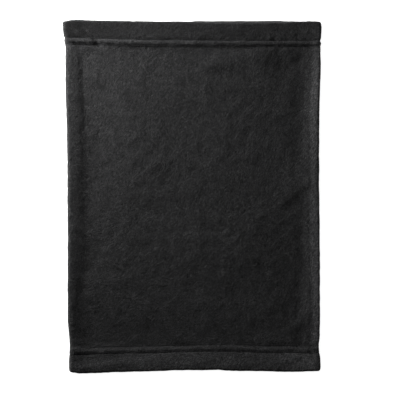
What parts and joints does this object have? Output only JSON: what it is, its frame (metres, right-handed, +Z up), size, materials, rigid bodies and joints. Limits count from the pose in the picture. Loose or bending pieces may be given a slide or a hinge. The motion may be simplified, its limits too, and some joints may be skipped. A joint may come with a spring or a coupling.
{
  "type": "neck gaiter",
  "caption": "Plain tubular fleece neck gaiter lying flat, open at both ends, with a sewn side edge and turned, coverstitched hems.",
  "frame": {"origin": "centre of the lowest plane of the flattened tube, on which its back lies", "axes": "+X across the tube towards the folded edge, +Y along the tube towards the upper hem, +Z up through its thickness"},
  "size_m": [0.2583, 0.3522, 0.0128],
  "materials": {
    "fleece": "matte",
    "thread": "satin",
    "label": "satin"
  },
  "bodies": {
    "back": {"back_panel": "fleece", "right_side_fold": "fleece", "left_seam_back_ply": "fleece", "top_hem_back_turnup": "fleece", "bottom_hem_back_turnup": "fleece", "side_seam_lower_looper_thread": "thread", "top_hem_outer_needle_thread": "thread", "top_hem_inner_needle_thread": "thread", "top_hem_looper_thread": "thread", "bottom_hem_outer_needle_thread": "thread", "bottom_hem_inner_needle_thread": "thread", "bottom_hem_looper_thread": "thread"},
    "front": {"front_panel": "fleece", "left_seam_front_ply": "fleece", "top_hem_front_turnup": "fleece", "bottom_hem_front_turnup": "fleece", "side_seam_left_needle_thread": "thread", "side_seam_right_needle_thread": "thread", "side_seam_upper_looper_thread": "thread"},
    "label": {"care_label": "label"}
  },
  "joints": [
    {"name": "mouth_opening", "type": "slide", "parent": "back", "child": "front", "axis": [0, 0, 1], "range_m": [0, 0.025], "deforming": ["right_side_fold", "left_seam_back_ply", "top_hem_outer_needle_thread", "top_hem_inner_needle_thread", "top_hem_looper_thread", "bottom_hem_outer_needle_thread", "bottom_hem_inner_needle_thread", "bottom_hem_looper_thread"]},
    {"name": "care_label_flap", "type": "hinge", "parent": "back", "child": "label", "pos_m": [-0.1094, -0.098, 0.0025], "axis": [0, -1, 0], "range_deg": [0, 3.5]}
  ]
}
